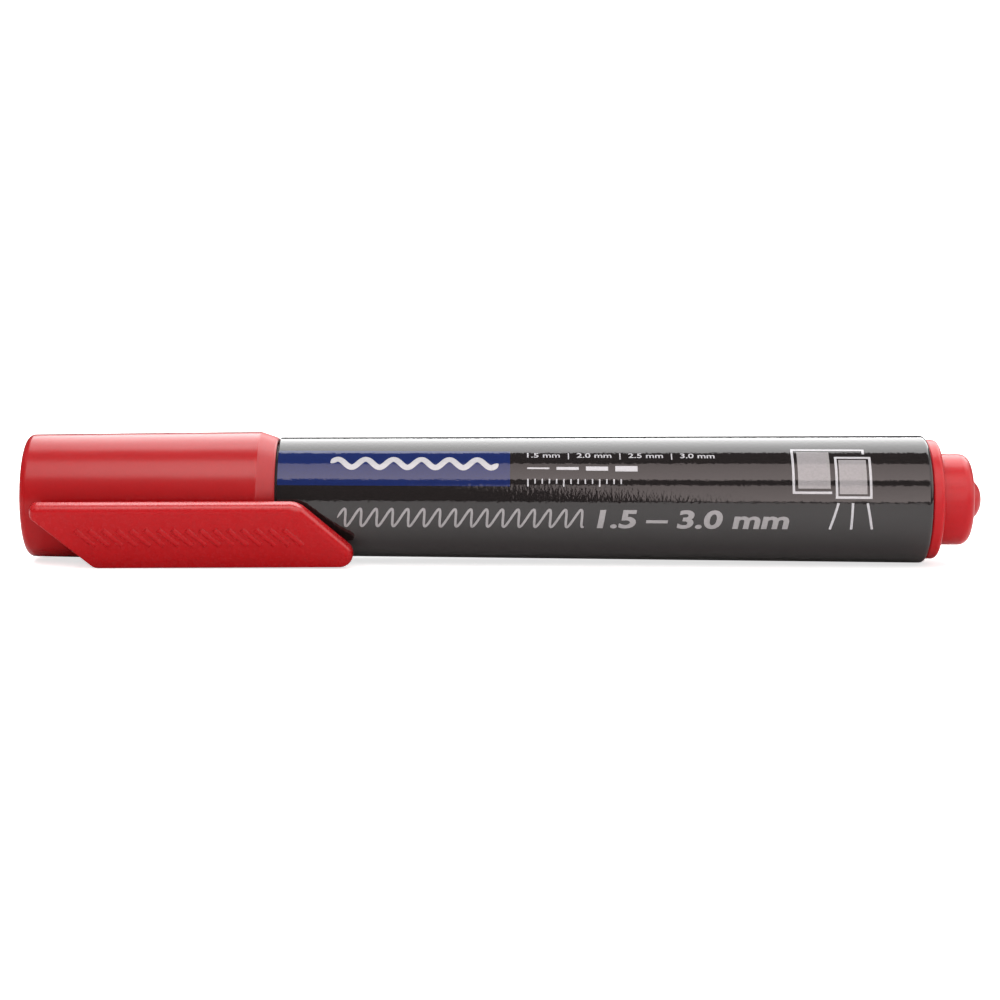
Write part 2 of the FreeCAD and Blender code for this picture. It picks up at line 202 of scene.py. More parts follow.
def finished(name, mesh, material, sharp_angle=35):
    """Object made of a bmesh, with outward faces, smooth shading and edges that are sharp past an angle."""
    bmesh.ops.recalc_face_normals(mesh, faces=mesh.faces)
    data = bpy.data.meshes.new(name)
    mesh.to_mesh(data)
    mesh.free()
    data.polygons.foreach_set("use_smooth", [True] * len(data.polygons))
    data.set_sharp_from_angle(angle=math.radians(sharp_angle))
    data.materials.append(material)
    piece = bpy.data.objects.new(name, data)
    bpy.context.scene.collection.objects.link(piece)
    return piece


def bridge(mesh, first, second):
    """Quads between two closed rings of vertices. A ring of one vertex is a pole."""
    count = max(len(first), len(second))
    for i in range(count):
        j = i + 1
        ring = [
            first[i % len(first)],
            first[j % len(first)],
            second[j % len(second)],
            second[i % len(second)],
        ]
        corners = list(dict.fromkeys(ring))
        if len(corners) > 2:
            mesh.faces.new(corners)


def lathe(mesh, profile, rise=None):
    """Adds a closed body of revolution. rise(x, radius, angle) is how far a point stands out of it."""
    rings = []
    for x, radius in profile:
        if radius < 1e-6:
            rings.append([mesh.verts.new(at(x, 0, 0))])
            continue
        ring = []
        for i in range(ROUND_STEPS):
            angle = 2 * math.pi * i / ROUND_STEPS
            extra = rise(x, radius, angle) if rise else 0
            ring.append(mesh.verts.new(at(x, radius + extra, angle)))
        rings.append(ring)
    for first, second in zip(rings, rings[1:] + rings[:1]):
        bridge(mesh, first, second)


def cut(mesh, point, normal):
    """Cuts all faces along a plane."""
    everything = mesh.verts[:] + mesh.edges[:] + mesh.faces[:]
    bmesh.ops.bisect_plane(mesh, geom=everything, plane_co=point, plane_no=normal)


def block(mesh, x_range, across, up):
    """Adds a box on the marker's axis, as wide and as high as across and up say."""
    start, end = x_range
    centre = at((start + end) / 2, 0, 0)
    size = Matrix.Diagonal((end - start, across, up, 1 / MM)) * MM
    bmesh.ops.create_cube(mesh, size=1.0, matrix=Matrix.Translation(centre) @ size)


# ---- Node helpers -------------------------------------------------------------------------------------


class Nodes:
    """Short way to build a node material: add() makes a node, and set() gives an input a value or a link."""

    def __init__(self, name):
        self.material = bpy.data.materials.new(name)
        self.material.use_nodes = True
        self.tree = self.material.node_tree
        self.shader = self.tree.nodes["Principled BSDF"]
        self.place = self.add("ShaderNodeTexCoord").outputs["Object"]

    def add(self, kind, inputs=None, **settings):
        node = self.tree.nodes.new(kind)
        for key, value in settings.items():
            setattr(node, key, value)
        for key, value in (inputs or {}).items():
            self.set(node.inputs[key], value)
        return node

    def set(self, socket, value):
        if isinstance(value, bpy.types.NodeSocket):
            self.tree.links.new(value, socket)
        else:
            socket.default_value = value

    def calculate(self, operation, *values):
        """Result of a Math node."""
        node = self.add("ShaderNodeMath", operation=operation)
        for socket, value in zip(node.inputs, values):
            self.set(socket, value)
        return node.outputs["Value"]

    def noise(self, size, detail=2.0, stretch=(1, 1, 1), place=None):
        """Noise from 0 to 1 whose blotches are about size millimetres across."""
        scale = [1 / (size * MM * s) for s in stretch]
        mapped = self.add("ShaderNodeMapping", {"Vector": place or self.place, "Scale": scale})
        inputs = {"Vector": mapped.outputs["Vector"], "Scale": 1.0, "Detail": detail}
        return self.add("ShaderNodeTexNoise", inputs).outputs["Fac"]

    def around(self):
        """Place on an unrolled barrel: along it, round it from the front, and nothing."""
        parts = self.add("ShaderNodeSeparateXYZ", {"Vector": self.place}).outputs
        forwards = self.calculate("SUBTRACT", AXIS_Y * MM, parts["Y"])
        upwards = self.calculate("SUBTRACT", parts["Z"], AXIS_Z * MM)
        angle = self.calculate("ARCTAN2", upwards, forwards)
        arc = self.calculate("MULTIPLY", angle, FILM_REAR_RADIUS * MM)
        inputs = {"X": parts["X"], "Y": arc}
        return self.add("ShaderNodeCombineXYZ", inputs).outputs["Vector"]

    def past(self, x):
        """0 before a place along the marker and 1 after it."""
        width = 0.1
        parts = self.add("ShaderNodeSeparateXYZ", {"Vector": self.place}).outputs
        start = (START_X + x) * MM
        inputs = {"Value": parts["X"], "From Min": start, "From Max": start + width * MM}
        return self.add("ShaderNodeMapRange", inputs).outputs["Result"]

    def spread(self, value, low, high):
        """A noise's value, which runs from about 0.3 to 0.7, as one between low and high."""
        inputs = {"Value": value, "From Min": 0.3, "From Max": 0.7, "To Min": low, "To Max": high}
        return self.add("ShaderNodeMapRange", inputs).outputs["Result"]

    def painted_shine_by_slope(self, stops):
        """Value that follows how far the surface looks up, used for a painted shine by slope. Stops are (up,
        value), up from -1 to 1.
        """
        normal = self.add("ShaderNodeTexCoord").outputs["Normal"]
        slope = self.add("ShaderNodeSeparateXYZ", {"Vector": normal}).outputs["Z"]
        share = self.add("ShaderNodeMapRange", {"Value": slope, "From Min": -1.0})
        ramp = self.add("ShaderNodeValToRGB", {"Fac": share.outputs["Result"]})
        elements = ramp.color_ramp.elements
        for (up, value), element in zip(stops, elements):
            element.position = (up + 1) / 2
            element.color = colour(value, value, value)
        for up, value in stops[2:]:
            elements.new((up + 1) / 2).color = colour(value, value, value)
        return ramp.outputs["Color"]

    def mix(self, share, first, second):
        """Colour between two colours."""
        node = self.add("ShaderNodeMix", data_type="RGBA")
        self.set(node.inputs["Factor"], share)
        self.set(node.inputs["A"], first)
        self.set(node.inputs["B"], second)
        return node.outputs["Result"]

    def blotched(self, base, contrast, size):
        """The base colour in blotches that are darker and lighter by a small share of it."""
        dark = colour(*(c * (1 - contrast) for c in base))
        light = colour(*(min(1, c * (1 + contrast)) for c in base))
        return self.mix(self.spread(self.noise(size, 3.0), 0, 1), dark, light)

    def bump(self, layers):
        """Normal with relief. Layers are (height from 0 to 1, depth in millimetres)."""
        normal = None
        for height, depth in layers:
            node = self.add("ShaderNodeBump", {"Height": height, "Strength": 1.0, "Distance": depth * MM})
            if normal is not None:
                self.set(node.inputs["Normal"], normal)
            normal = node.outputs["Normal"]
        return normal

    def finish(self, **inputs):
        """Sets the shader's inputs, whose names have _ for a space, and returns the material."""
        for key, value in inputs.items():
            self.set(self.shader.inputs[key.replace("_", " ")], value)
        return self.material


def colour(red, green, blue):
    """Opaque linear colour."""
    return (red, green, blue, 1.0)


# ---- Materials ----------------------------------------------------------------------------------------


def satin_plastic(name, base, roughness, painted_shine=None, cone_roughness=None, glow=0.0):
    """Moulded plastic with a fine spark-eroded skin, slow waves from the mould and uneven gloss. The
    argument after roughness gives a painted shine by slope: how strongly the surface reflects, set by which
    way it faces; cone_roughness is the roughness past the cap's rim, and glow is how much of its light
    spreads under its skin."""
    n = Nodes(name)
    uneven = 0.02
    gloss = n.spread(n.noise(0.7, 3.0), roughness - uneven, roughness + uneven)
    if cone_roughness:
        gloss = n.calculate("MULTIPLY_ADD", n.past(CAP_RIM_X), cone_roughness - roughness, gloss)
    waves = n.noise(6.0, 1.0)
    skin = n.noise(0.17, 2.0)
    return n.finish(
        Base_Color=n.blotched(base, contrast=0.04, size=0.4),
        Roughness=gloss,
        # Painted shine: the reflection strength follows which way the surface faces, not its finish.
        Specular_IOR_Level=n.painted_shine_by_slope(painted_shine) if painted_shine else 0.5,
        Subsurface_Weight=glow,
        Subsurface_Radius=(1.0, 0.06, 0.08),
        Subsurface_Scale=1.5 * MM,
        Normal=n.bump([(waves, 0.02), (skin, 0.0035)]),
    )


def film_bump(n):
    """Ripple of a shrunk film: what makes the reflections' edges ragged."""
    place = n.around()
    waves = n.noise(6.0, 1.0, (3, 1, 1), place)
    ripple = n.noise(0.42, 2.0, (1, 1.7, 1), place)
    return n.bump([(waves, 0.02), (ripple, 0.016)])


def printed_film(name, base):
    """Glossy film with ink of one colour under it."""
    n = Nodes(name)
    return n.finish(
        Base_Color=n.blotched(base, contrast=0.06, size=0.3),
        Roughness=n.spread(n.noise(2.5, 3.0), 0.03, 0.055),
        IOR=1.56,
        Normal=film_bump(n),
    )


CAP_RED = (0.35, 0.003, 0.005)
CLIP_RED = (0.405, 0.003, 0.006)
PLUG_RED = (0.44, 0.004, 0.008)

# Painted shine: how strongly a part reflects, set by which way its surface faces, as (up, value) stops: less
# where it looks down or straight up.
CAP_PAINTED_SHINE = (
    (-0.25, 0.18),
    (0.08, 0.25),
    (0.22, 0.6),
    (0.62, 0.8),
    (0.78, 0.6),
    (0.87, 0.36),
    (0.99, 0.36),
)
CLIP_PAINTED_SHINE = ((-0.15, 0.18), (0.1, 0.2), (0.3, 0.85))
PLUG_PAINTED_SHINE = ((-0.3, 0.2), (0.05, 0.28), (0.3, 0.5), (0.75, 0.5), (0.9, 0.35))

cap_red = satin_plastic("cap red plastic", CAP_RED, 0.25, CAP_PAINTED_SHINE, cone_roughness=0.42, glow=0.3)
clip_red = satin_plastic("clip red plastic", CLIP_RED, 0.27, CLIP_PAINTED_SHINE)
plug_red = satin_plastic("plug red plastic", PLUG_RED, 0.33, PLUG_PAINTED_SHINE, glow=0.4)
film_black = printed_film("black film", (0.0105, 0.0082, 0.0082))
film_blue = printed_film("blue print", (0.0065, 0.0155, 0.088))
film_white = printed_film("white print", (0.45, 0.45, 0.47))
film_pale = printed_film("pale print", (0.28, 0.27, 0.275))
film_grey = printed_film("grey print", (0.27, 0.26, 0.265))
barrel_black = satin_plastic("barrel black plastic", (0.02, 0.02, 0.021), 0.42)
holder_black = satin_plastic("holder black plastic", (0.024, 0.024, 0.025), 0.4)
seal_white = satin_plastic("seal plastic", (0.82, 0.81, 0.77), 0.4)


def fibre(name, base):
    """Bonded fibres that run along the marker."""
    n = Nodes(name)
    strands = n.noise(0.12, 3.0, (30, 1, 1))
    dark = colour(*(c * 0.55 for c in base))
    return n.finish(
        Base_Color=n.mix(n.spread(strands, 0, 1), dark, colour(*base)),
        Roughness=0.85,
        Normal=n.bump([(strands, 0.03), (n.noise(0.2, 2.0), 0.01)]),
    )


def clear_film():
    """Thin clear wrap with long wrinkles."""
    n = Nodes("clear wrap")
    wrinkles = n.noise(1.5, 2.0, (12, 1, 1))
    return n.finish(
        Base_Color=colour(0.9, 0.9, 0.9),
        Roughness=n.spread(wrinkles, 0.05, 0.15),
        Transmission_Weight=0.8,
        Normal=n.bump([(wrinkles, 0.04)]),
    )


# ---- Cap ----------------------------------------------------------------------------------------------


def make_cap():
    """Outer cap: gate mark in its closed end, rounded rim, snap groove and the ring for the inner cap."""
    outside = rounded(
        [
            (GATE_DEPTH, 0),
            (GATE_DEPTH, GATE_RADIUS, 0.1),
            (0, GATE_RADIUS + 0.2, 0.1),
            (0, CAP_END_RADIUS, 1.0),
            (CAP_RIM_X, CAP_RIM_RADIUS, 0.5),
            (CAP_LENGTH - 0.25, CAP_MOUTH_RADIUS, 0.2),
            (CAP_LENGTH, CAP_MOUTH_RADIUS - 0.15),
        ]
    )
    inside = rounded(
        [
            (CAP_LENGTH, CAP_BORE_RADIUS + 0.15),
            (CAP_LENGTH - 0.5, CAP_BORE_RADIUS),
            (31.5, CAP_BORE_RADIUS),
            (31.2, CAP_SNAP_RADIUS),
            (29.8, CAP_SNAP_RADIUS),
            (29.5, CAP_BORE_RADIUS),
            (27.5, CAP_BORE_RADIUS),
            (27.0, CAP_BORE_RADIUS - 0.12),
            (CAP_FLOOR_X, CAP_BORE_END_RADIUS, 0.8),
            (CAP_FLOOR_X, CAP_RING_OUTSIDE),
            (CAP_RING_X, CAP_RING_OUTSIDE),
            (CAP_RING_X, CAP_RING_INSIDE),
            (CAP_FLOOR_X, CAP_RING_INSIDE),
            (CAP_FLOOR_X, 0),
        ]
    )
    mesh = bmesh.new()
    lathe(mesh, outside + inside)
    cap = finished("cap", mesh, cap_red)
    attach(cap, "cap")
    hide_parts("cap_shell")


# ---- Clip ---------------------------------------------------------------------------------------------


def clip_outline():
    """Outline of the plate as (x, across) points, and for each the rounding of the outer face's edge."""
    half = CLIP_WIDTH / 2
    top_end = CLIP_TOP_START_X + CLIP_TOP_LENGTH
    corners = [
        (CLIP_TOP_START_X, half, 1.13),
        (top_end, half, 3.0),
        (top_end + CLIP_WIDTH, -half, 1.8),
        (CLIP_TOP_START_X + CLIP_WIDTH, -half, 1.5),
    ]
    arc_steps = 10
    outline = rounded(corners, arc_steps, hold=0)
    # From crisp, 0, to soft, 1, at the start and end of each corner's arc. The 3 makes a quick change.
    softness = [(0, 3), (1, 1), (1, 0), (0, 0)]
    edges = []
    for start, end in softness:
        for k in range(arc_steps + 1):
            share = min(1, start + (end - start) * k / arc_steps)
            edges.append(CLIP_CRISP_EDGE + (CLIP_SOFT_EDGE - CLIP_CRISP_EDGE) * share)
    return outline, edges


def clip_plate(mesh):
    """Flat plate with a small edge radius inside and a larger, varying one outside."""
    outline, soft = clip_outline()
    count = len(outline)
    inner_steps, outer_steps = 4, 10
    rings = []

    def ring(inset, out):
        """Outline moved inwards by inset(i), at the height out(i)."""
        made = []
        for i, point in enumerate(outline):
            along = (outline[(i + 1) % count] - outline[i - 1]).normalized()
            inwards = Vector((along.y, -along.x))
            place = point + inwards * inset(i)
            made.append(mesh.verts.new(on_clip(place.x, place.y, out(i))))
        rings.append(made)

    ring(lambda i: CLIP_INNER_EDGE + EVEN_SHADING_GAP, lambda i: 0)
    for k in range(inner_steps + 1):
        turn = math.pi / 2 * k / inner_steps
        ring(
            lambda i: CLIP_INNER_EDGE * (1 - math.sin(turn)),
            lambda i: CLIP_INNER_EDGE * (1 - math.cos(turn)),
        )
    for k in range(outer_steps + 1):
        turn = math.pi / 2 * k / outer_steps
        ring(
            lambda i: soft[i] * (1 - math.cos(turn)),
            lambda i: CLIP_THICKNESS - soft[i] * (1 - math.sin(turn)),
        )
    ring(lambda i: soft[i] + EVEN_SHADING_GAP, lambda i: CLIP_THICKNESS)
    for first, second in zip(rings, rings[1:]):
        bridge(mesh, first, second)
    mesh.faces.new(rings[0])
    mesh.faces.new(rings[-1])


def clip_web(mesh):
    """Web between the plate and the side of the cap."""
    start_above, start_below, end = 5.0, 8.6, 16.0
    half, edge = 1.8, 0.5
    into_cap, into_plate = -2.2, 0.3
    corners = [(start_above, half), (end, half), (end, -half), (start_below, -half)]
    outline = rounded([(*corner, edge) for corner in corners])
    inner = []
    outer = []
    for x, across in outline:
        inner.append(mesh.verts.new(on_clip(x, across, into_cap)))
        outer.append(mesh.verts.new(on_clip(x, across, into_plate)))
    bridge(mesh, inner, outer)
    mesh.faces.new(inner)
    mesh.faces.new(outer)


def clip_bump(mesh):
    """Rounded bump inside the free end, which presses on cloth or paper."""
    centre_x, centre_across = 41.0, -1.2
    half_length, half_width, height = 2.0, 1.1, 0.5
    slices, spokes = 16, 24
    rings = []
    for k in range(slices + 1):
        turn = math.pi * k / slices
        scale = math.sin(turn) ** 0.5
        across = centre_across - half_length * math.cos(turn)
        ring = []
        for i in range(spokes if 0 < k < slices else 1):
            spoke = 2 * math.pi * i / spokes
            x = centre_x + half_width * scale * math.cos(spoke)
            ring.append(mesh.verts.new(on_clip(x, across, height * scale * math.sin(spoke))))
        rings.append(ring)
    for first, second in zip(rings, rings[1:]):
        bridge(mesh, first, second)


def clip_ribs(mesh):
    """Row of low grip ribs on the outer face, parallel to the ends of the plate."""
    first_x, last_x, pitch = 8.2, 37.0, 1.92
    top, bottom = 1.5, -1.2
    half_width, height, root = 0.42, 0.2, 0.1
    steps = 8
    count = round((last_x - first_x) / pitch)
    for i in range(count + 1):
        start = Vector((first_x + pitch * i, top))
        end = start + Vector((top - bottom, bottom - top))
        along = (end - start).normalized()
        side = Vector((-along.y, along.x))
        rings = []
        for k in range(steps + 1):
            spoke = math.pi * k / steps
            reach = half_width * math.cos(spoke)
            out = CLIP_THICKNESS - root + (height + root) * math.sin(spoke)
            ring = []
            for point, inwards in ((start, 1), (end, -1)):
                inset = along * inwards * half_width * math.sin(spoke) * 0.5
                place = point + side * reach + inset
                ring.append(mesh.verts.new(on_clip(place.x, place.y, out)))
            rings.append(ring)
        for (a, b), (c, d) in zip(rings, rings[1:]):
            mesh.faces.new((a, b, d, c))
        mesh.faces.new([r[0] for r in rings])
        mesh.faces.new([r[1] for r in reversed(rings)])
        mesh.faces.new((rings[0][0], rings[-1][0], rings[-1][1], rings[0][1]))


def make_clip():
    """Clip in one piece with its web. Its mesh is cut into slices where the CAD has its hinge."""
    mesh = bmesh.new()
    clip_plate(mesh)
    clip_web(mesh)
    clip_bump(mesh)
    clip_ribs(mesh)
    bend_start = CLIP_HINGE_X - CLIP_BEND
    bend_end = CLIP_HINGE_X + CLIP_BEND
    cuts = 8
    for k in range(cuts + 1):
        x = bend_start + (bend_end - bend_start) * k / cuts
        cut(mesh, at(x, 0, 0), (1, 0, 0))
    clip = finished("clip", mesh, clip_red, sharp_angle=40)
    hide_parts("clip_root", "clip_arm")
    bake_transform(clip)


# ---- Barrel film --------------------------------------------------------------------------------------


def seam_rise(x, radius, angle):
    """The film's ends overlap in a strip along the back of the barrel."""
    if radius < film_radius(x) - FILM_THICKNESS / 2:
        return 0
    off = abs(angle - SEAM_ANGLE) / SEAM_HALF_WIDTH
    return SEAM_RISE * max(0, min(1, (1 - off) * SEAM_STEEPNESS))


def make_film():
    """Film over the barrel, turned in over both of its ends."""
    inner_front = FILM_FRONT_RADIUS - FILM_THICKNESS
    inner_rear = FILM_REAR_RADIUS - FILM_THICKNESS
    corners = [
        (FILM_START_X, FILM_FRONT_RADIUS - FILM_FRONT_LIP),
        (FILM_START_X, FILM_FRONT_RADIUS, FILM_FRONT_ROUND),
        (FILM_END_X, FILM_REAR_RADIUS, FILM_REAR_ROUND),
        (FILM_END_X, FILM_REAR_RADIUS - FILM_REAR_LIP),
        (FILM_END_X - FILM_THICKNESS, FILM_REAR_RADIUS - FILM_REAR_LIP),
        (FILM_END_X - FILM_THICKNESS, inner_rear, FILM_REAR_ROUND - FILM_THICKNESS),
        (FILM_START_X + FILM_THICKNESS, inner_front, FILM_FRONT_ROUND - FILM_THICKNESS),
        (FILM_START_X + FILM_THICKNESS, FILM_FRONT_RADIUS - FILM_FRONT_LIP),
    ]
    mesh = bmesh.new()
    lathe(mesh, rounded(corners), seam_rise)
    for k in range(1, FILM_CUTS):
        x = FILM_START_X + (FILM_END_X - FILM_START_X) * k / FILM_CUTS
        cut(mesh, at(x, 0, 0), (1, 0, 0))
    film = finished("barrel_film", mesh, film_black, sharp_angle=50)
    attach(film, "barrel")
    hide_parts("label_film")


# ---- Print on the film --------------------------------------------------------------------------------

# A print is drawn flat first, as faces in (x, up), where up is measured along the film's surface from the
# marker's front line, and then wrapped round the film.


def ribbon(flat, points, widths):
    """Strip along points, as wide at each one as widths says."""
    pairs = []
    for i, point in enumerate(points):
        before = points[max(i - 1, 0)]
        after = points[min(i + 1, len(points) - 1)]
        along = (after - before).normalized()
        side = Vector((-along.y, along.x)) * widths[i] / 2
        pairs.append([flat.verts.new((*p, 0)) for p in (point + side, point - side)])
    for (a, b), (c, d) in zip(pairs, pairs[1:]):
        flat.faces.new((a, b, d, c))


def stroke(flat, start, end, width):
    """Straight bar with square ends."""
    ribbon(flat, [Vector(start), Vector(end)], [width, width])


def corners_of(low, high):
    """Four corners of an upright rectangle, from the lower left one on."""
    return (low, (high[0], low[1]), high, (low[0], high[1]))


def rectangle(flat, low, high):
    """Filled rectangle."""
    flat.faces.new([flat.verts.new((*c, 0)) for c in corners_of(low, high)])


def border(flat, low, high, width):
    """Rectangular frame whose outer corners are low and high."""
    inner_low = (low[0] + width, low[1] + width)
    inner_high = (high[0] - width, high[1] - width)
    outside = [flat.verts.new((*c, 0)) for c in corners_of(low, high)]
    inside = [flat.verts.new((*c, 0)) for c in corners_of(inner_low, inner_high)]
    bridge(flat, outside, inside)


def wave(flat, x_range, middle, height, length, width, slant=0.0):
    """Waving line with rounded ends between two values of x."""
    start, end = x_range
    steps_per_wave = 24
    count = round((end - start) / length * steps_per_wave)
    points = []
    widths = []
    for i in range(count + 1):
        x = start + (end - start) * i / count
        up = height / 2 * math.sin(2 * math.pi * (x - start) / length)
        points.append(Vector((x + slant * up, middle + up)))
        to_end = min(x - start, end - x)
        widths.append(width * math.sqrt(min(1, (to_end + 0.02) / (width / 2))))
    ribbon(flat, points, widths)


def figures(flat, text, low, high, slant=0.0, weight=0.0):
    """Line of figures that fills the box from low to high."""
    curve = bpy.data.curves.new("figures", "FONT")
    curve.body = text
    curve.shear = slant
    curve.offset = weight
    curve.resolution_u = 4
    holder = bpy.data.objects.new("figures", curve)
    bpy.context.scene.collection.objects.link(holder)
    bpy.context.view_layer.update()
    data = bpy.data.meshes.new_from_object(holder)
    xs = [v.co.x for v in data.vertices]
    ys = [v.co.y for v in data.vertices]
    scale_x = (high[0] - low[0]) / (max(xs) - min(xs))
    scale_y = (high[1] - low[1]) / (max(ys) - min(ys))
    for v in data.vertices:
        v.co.x = low[0] + (v.co.x - min(xs)) * scale_x
        v.co.y = low[1] + (v.co.y - min(ys)) * scale_y
        v.co.z = 0
    flat.from_mesh(data)
    bpy.data.objects.remove(holder)
    bpy.data.curves.remove(curve)
    bpy.data.meshes.remove(data)


def wrapped(name, flat, material, lift=0.012):
    """Makes a flat print into a thin closed piece on the film, which stands lift out of its surface."""
    root = 0.03
    strip = 0.45
    bmesh.ops.remove_doubles(flat, verts=flat.verts, dist=1e-4)
    bmesh.ops.triangulate(flat, faces=flat.faces)
    ups = [v.co.y for v in flat.verts]
    for k in range(math.ceil(min(ups) / strip), math.floor(max(ups) / strip) + 1):
        cut(flat, (0, k * strip, 0), (0, 1, 0))
    mesh = bmesh.new()
    top, bottom = {}, {}
    for v in flat.verts:
        radius = film_radius(v.co.x)
        angle = v.co.y / radius
        top[v] = mesh.verts.new(at(v.co.x, radius + lift, angle))
        bottom[v] = mesh.verts.new(at(v.co.x, radius - root, angle))
    for face in flat.faces:
        mesh.faces.new([top[v] for v in face.verts])
        mesh.faces.new([bottom[v] for v in reversed(face.verts)])
    for edge in flat.edges:
        if edge.is_boundary:
            a, b = edge.verts
            mesh.faces.new((top[a], top[b], bottom[b], bottom[a]))
    flat.free()
    piece = finished(name, mesh, material)
    axis = Vector((0, AXIS_Y, AXIS_Z)) * MM
    normals = []
    for v in piece.data.vertices:
        away = v.co - axis
        away.x = 0
        normals.append(away.normalized())
    piece.data.normals_split_custom_set_from_vertices(normals)
    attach(piece, "barrel")


def print_blue_field():
    """Blue field that starts at the cap, with a pale wave on it."""
    field = bmesh.new()
    rectangle(field, (FILM_START_X + 0.1, 2.6), (68.46, 8.3))
    wrapped("print_blue_field", field, film_blue)
    mark = bmesh.new()
    wave(mark, (43.4, 66.8), 6.0, 1.35, 3.9, 0.85)
    wrapped("print_field_wave", mark, film_white, lift=0.024)


def print_line_chart():
    """Three small rows: line widths as figures, the lines themselves, and a scale."""
    rows = bmesh.new()
    figures(rows, "1.5 mm  |  2.0 mm  |  2.5 mm  |  3.0 mm", (70.85, 6.85), (97.1, 8.0), weight=0.012)
    x, up = 70.85, 5.3
    length, pitch = 3.1, 4.1
    for width in (0.25, 0.45, 0.65, 0.85):
        stroke(rows, (x, up), (x + length, up), width)
        x += pitch
    first_tick, ticks = 70.95, 14
    for i in range(ticks):
        low = 2.6 if i % 5 == 0 else 3.0
        stroke(rows, (first_tick + i, low), (first_tick + i, 3.7), 0.2)
    wrapped("print_line_chart", rows, film_white)


def print_heading():
    """Large line: a light slanted wave, and the range of line widths in bold figures."""
    light = bmesh.new()
    wave(light, (44.4, 79.2), -1.95, 2.6, 2.2, 0.34, slant=0.35)
    wrapped("print_heading_wave", light, film_pale)
    bold = bmesh.new()
    figures(bold, "1.5 – 3.0 mm", (80.6, -3.4), (107.4, -0.6), slant=0.12, weight=0.03)
    wrapped("print_heading_figures", bold, film_pale)


def print_pictogram():
    """A wide wall board, and in front of its right part a flip chart on three legs."""
    line = 0.34
    lines = bmesh.new()
    stroke(lines, (107.8, 8.83), (118.1, 8.83), line)
    stroke(lines, (107.97, 1.75), (107.97, 9.0), line)
    stroke(lines, (107.8, 1.92), (113.3, 1.92), line)
    stroke(lines, (117.93, 8.0), (117.93, 9.0), line)
    border(lines, (113.8, 1.1), (118.9, 7.5), line)
    for foot_x, foot, top_x in ((113.1, -3.36, 114.2), (116.1, -3.34, 116.2), (119.0, -3.32, 118.25)):
        stroke(lines, (foot_x, foot), (top_x, 0.5), line)
    wrapped("print_pictogram", lines, film_white)
    sheets = bmesh.new()
    rectangle(sheets, (108.6, 2.5), (113.1, 8.35))
    rectangle(sheets, (114.35, 1.75), (118.2, 6.95))
    wrapped("print_pictogram_sheets", sheets, film_grey)


# ---- Rear plug ----------------------------------------------------------------------------------------


def make_plug():
    """Rear plug: spigot inside the barrel, collar, boss with a rounded button, and crossed fins."""
    corners = [
        (SPIGOT_START_X, SPIGOT_BORE_RADIUS),
        (SPIGOT_START_X, SPIGOT_TIP_RADIUS),
        (SPIGOT_START_X + 0.7, SPIGOT_RADIUS),
        (FILM_END_X, SPIGOT_RADIUS),
        (FILM_END_X, COLLAR_RADIUS, 0.25),
        (COLLAR_END_X, COLLAR_RADIUS, 0.7),
        (COLLAR_END_X, BOSS_RADIUS, 0.15),
        (BOSS_END_X, BOSS_RADIUS, 1.5),
        (BOSS_END_X + 0.1, BUTTON_FOOT_RADIUS, 0.9),
        (TOTAL_LENGTH, BUTTON_RADIUS, 3.0),
        (TOTAL_LENGTH, DIMPLE_RADIUS),
        (TOTAL_LENGTH - DIMPLE_DEPTH, DIMPLE_RADIUS - 0.1),
        (TOTAL_LENGTH - DIMPLE_DEPTH, 0),
        (BOSS_FLOOR_X, 0),
        (BOSS_FLOOR_X, BOSS_BORE_RADIUS, 0.6),
        (BOSS_FLOOR_X - 3.0, BOSS_BORE_RADIUS),
        (BOSS_FLOOR_X - 4.0, SPIGOT_BORE_RADIUS),
    ]
    mesh = bmesh.new()
    lathe(mesh, rounded(corners))
    block(mesh, (FIN_START_X, FIN_END_X), FIN_THICKNESS, FIN_WIDTH)
    block(mesh, (FIN_START_X, FIN_END_X), FIN_WIDTH, FIN_THICKNESS)
    plug = finished("rear_plug", mesh, plug_red)
    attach(plug, "barrel")
    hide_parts("end_plug")


# ---- Pieces kept from the CAD -------------------------------------------------------------------------


def finish_cad_nodes():
    """Gives the nodes that stay as they are their own materials."""
    materials = {
        "barrel_tube": barrel_black,
        "nib_holder": holder_black,
        "cap_seal": seal_white,
        "nib": fibre("nib felt", (0.5, 0.015, 0.025)),
        "ink_reservoir": fibre("ink fibre", (0.45, 0.02, 0.03)),
        "reservoir_wrap": clear_film(),
    }
    for name, material in materials.items():
        data = nodes[name].data
        data.materials.clear()
        data.materials.append(material)


# ---- Stage --------------------------------------------------------------------------------------------


def camera_share(tree):
    """1 for what the camera sees directly and 0 for everything else."""
    return tree.nodes.new("ShaderNodeLightPath").outputs["Is Camera Ray"]


def make_floor():
    """Pale table. It glows a little for the camera alone, so that the contact shadow stays light."""
    radius = 0.5
    glow = 0.7
    gap = 0.02
    mesh = bmesh.new()
    bmesh.ops.create_circle(mesh, cap_ends=True, segments=96, radius=radius)
    n = Nodes("floor")
    grain = n.spread(n.noise(3.0), 0, 1)
    material = n.finish(
        Base_Color=n.mix(grain, colour(0.8, 0.8, 0.8), colour(0.82, 0.82, 0.82)),
        Roughness=0.9,
        Emission_Color=colour(1, 1, 1),
        Emission_Strength=n.calculate("MULTIPLY", camera_share(n.tree), glow),
    )
    floor = finished("floor", mesh, material)
    floor.location.z = cad_low.z - gap * MM


